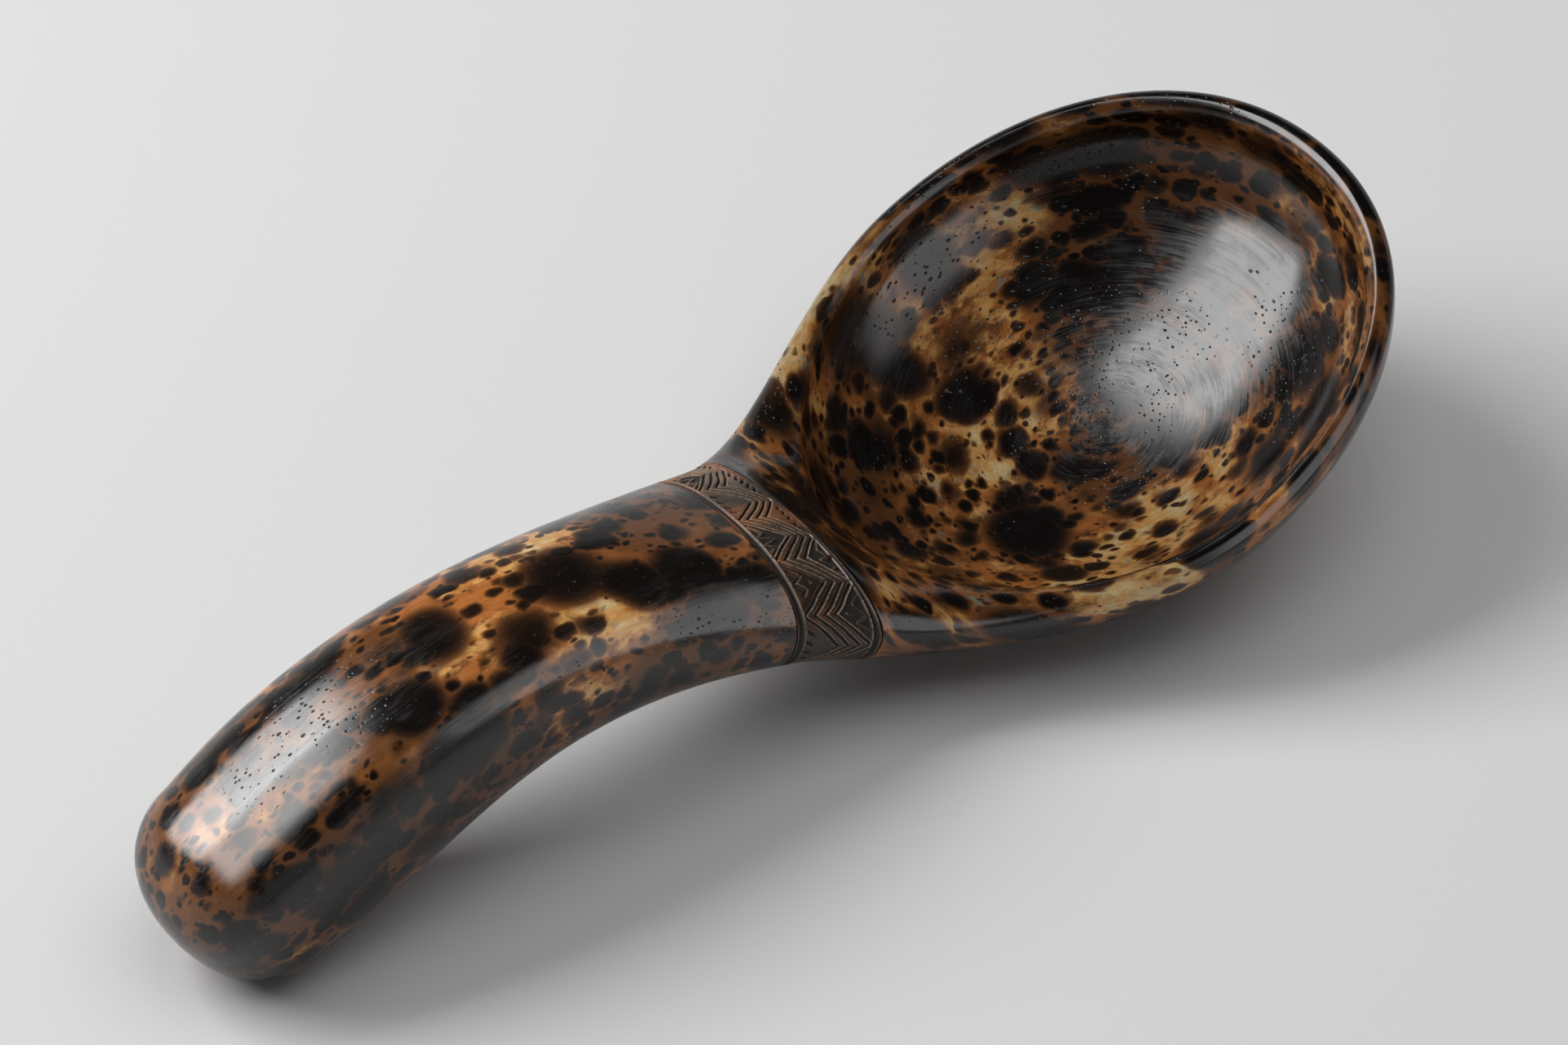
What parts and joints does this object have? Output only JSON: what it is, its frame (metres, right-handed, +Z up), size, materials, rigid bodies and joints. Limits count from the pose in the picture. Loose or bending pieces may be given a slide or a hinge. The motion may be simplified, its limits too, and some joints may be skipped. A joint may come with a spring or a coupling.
{
  "type": "horn serving spoon",
  "caption": "Large horn serving spoon: deep egg-shaped bowl with a rolled lip, spliced to a solid curved grip under a carved collar at the neck",
  "frame": {"origin": "On the table, under the middle of the spoon's length and width, as it lies at rest", "axes": "+Z up. +X runs from the butt of the grip to the front of the bowl. The XZ plane is the plane of symmetry"},
  "size_m": [0.2578, 0.107, 0.0546],
  "materials": {
    "mottled_horn": "polished horn, black-brown mottling over amber",
    "carved_horn": "satin carved horn",
    "pin_horn": "plain dark horn"
  },
  "bodies": {
    "root": {"bowl": "mottled_horn", "handle": "mottled_horn", "neck_collar": "carved_horn", "splice_pin_front": "pin_horn", "splice_pin_rear": "pin_horn"}
  },
  "joints": []
}
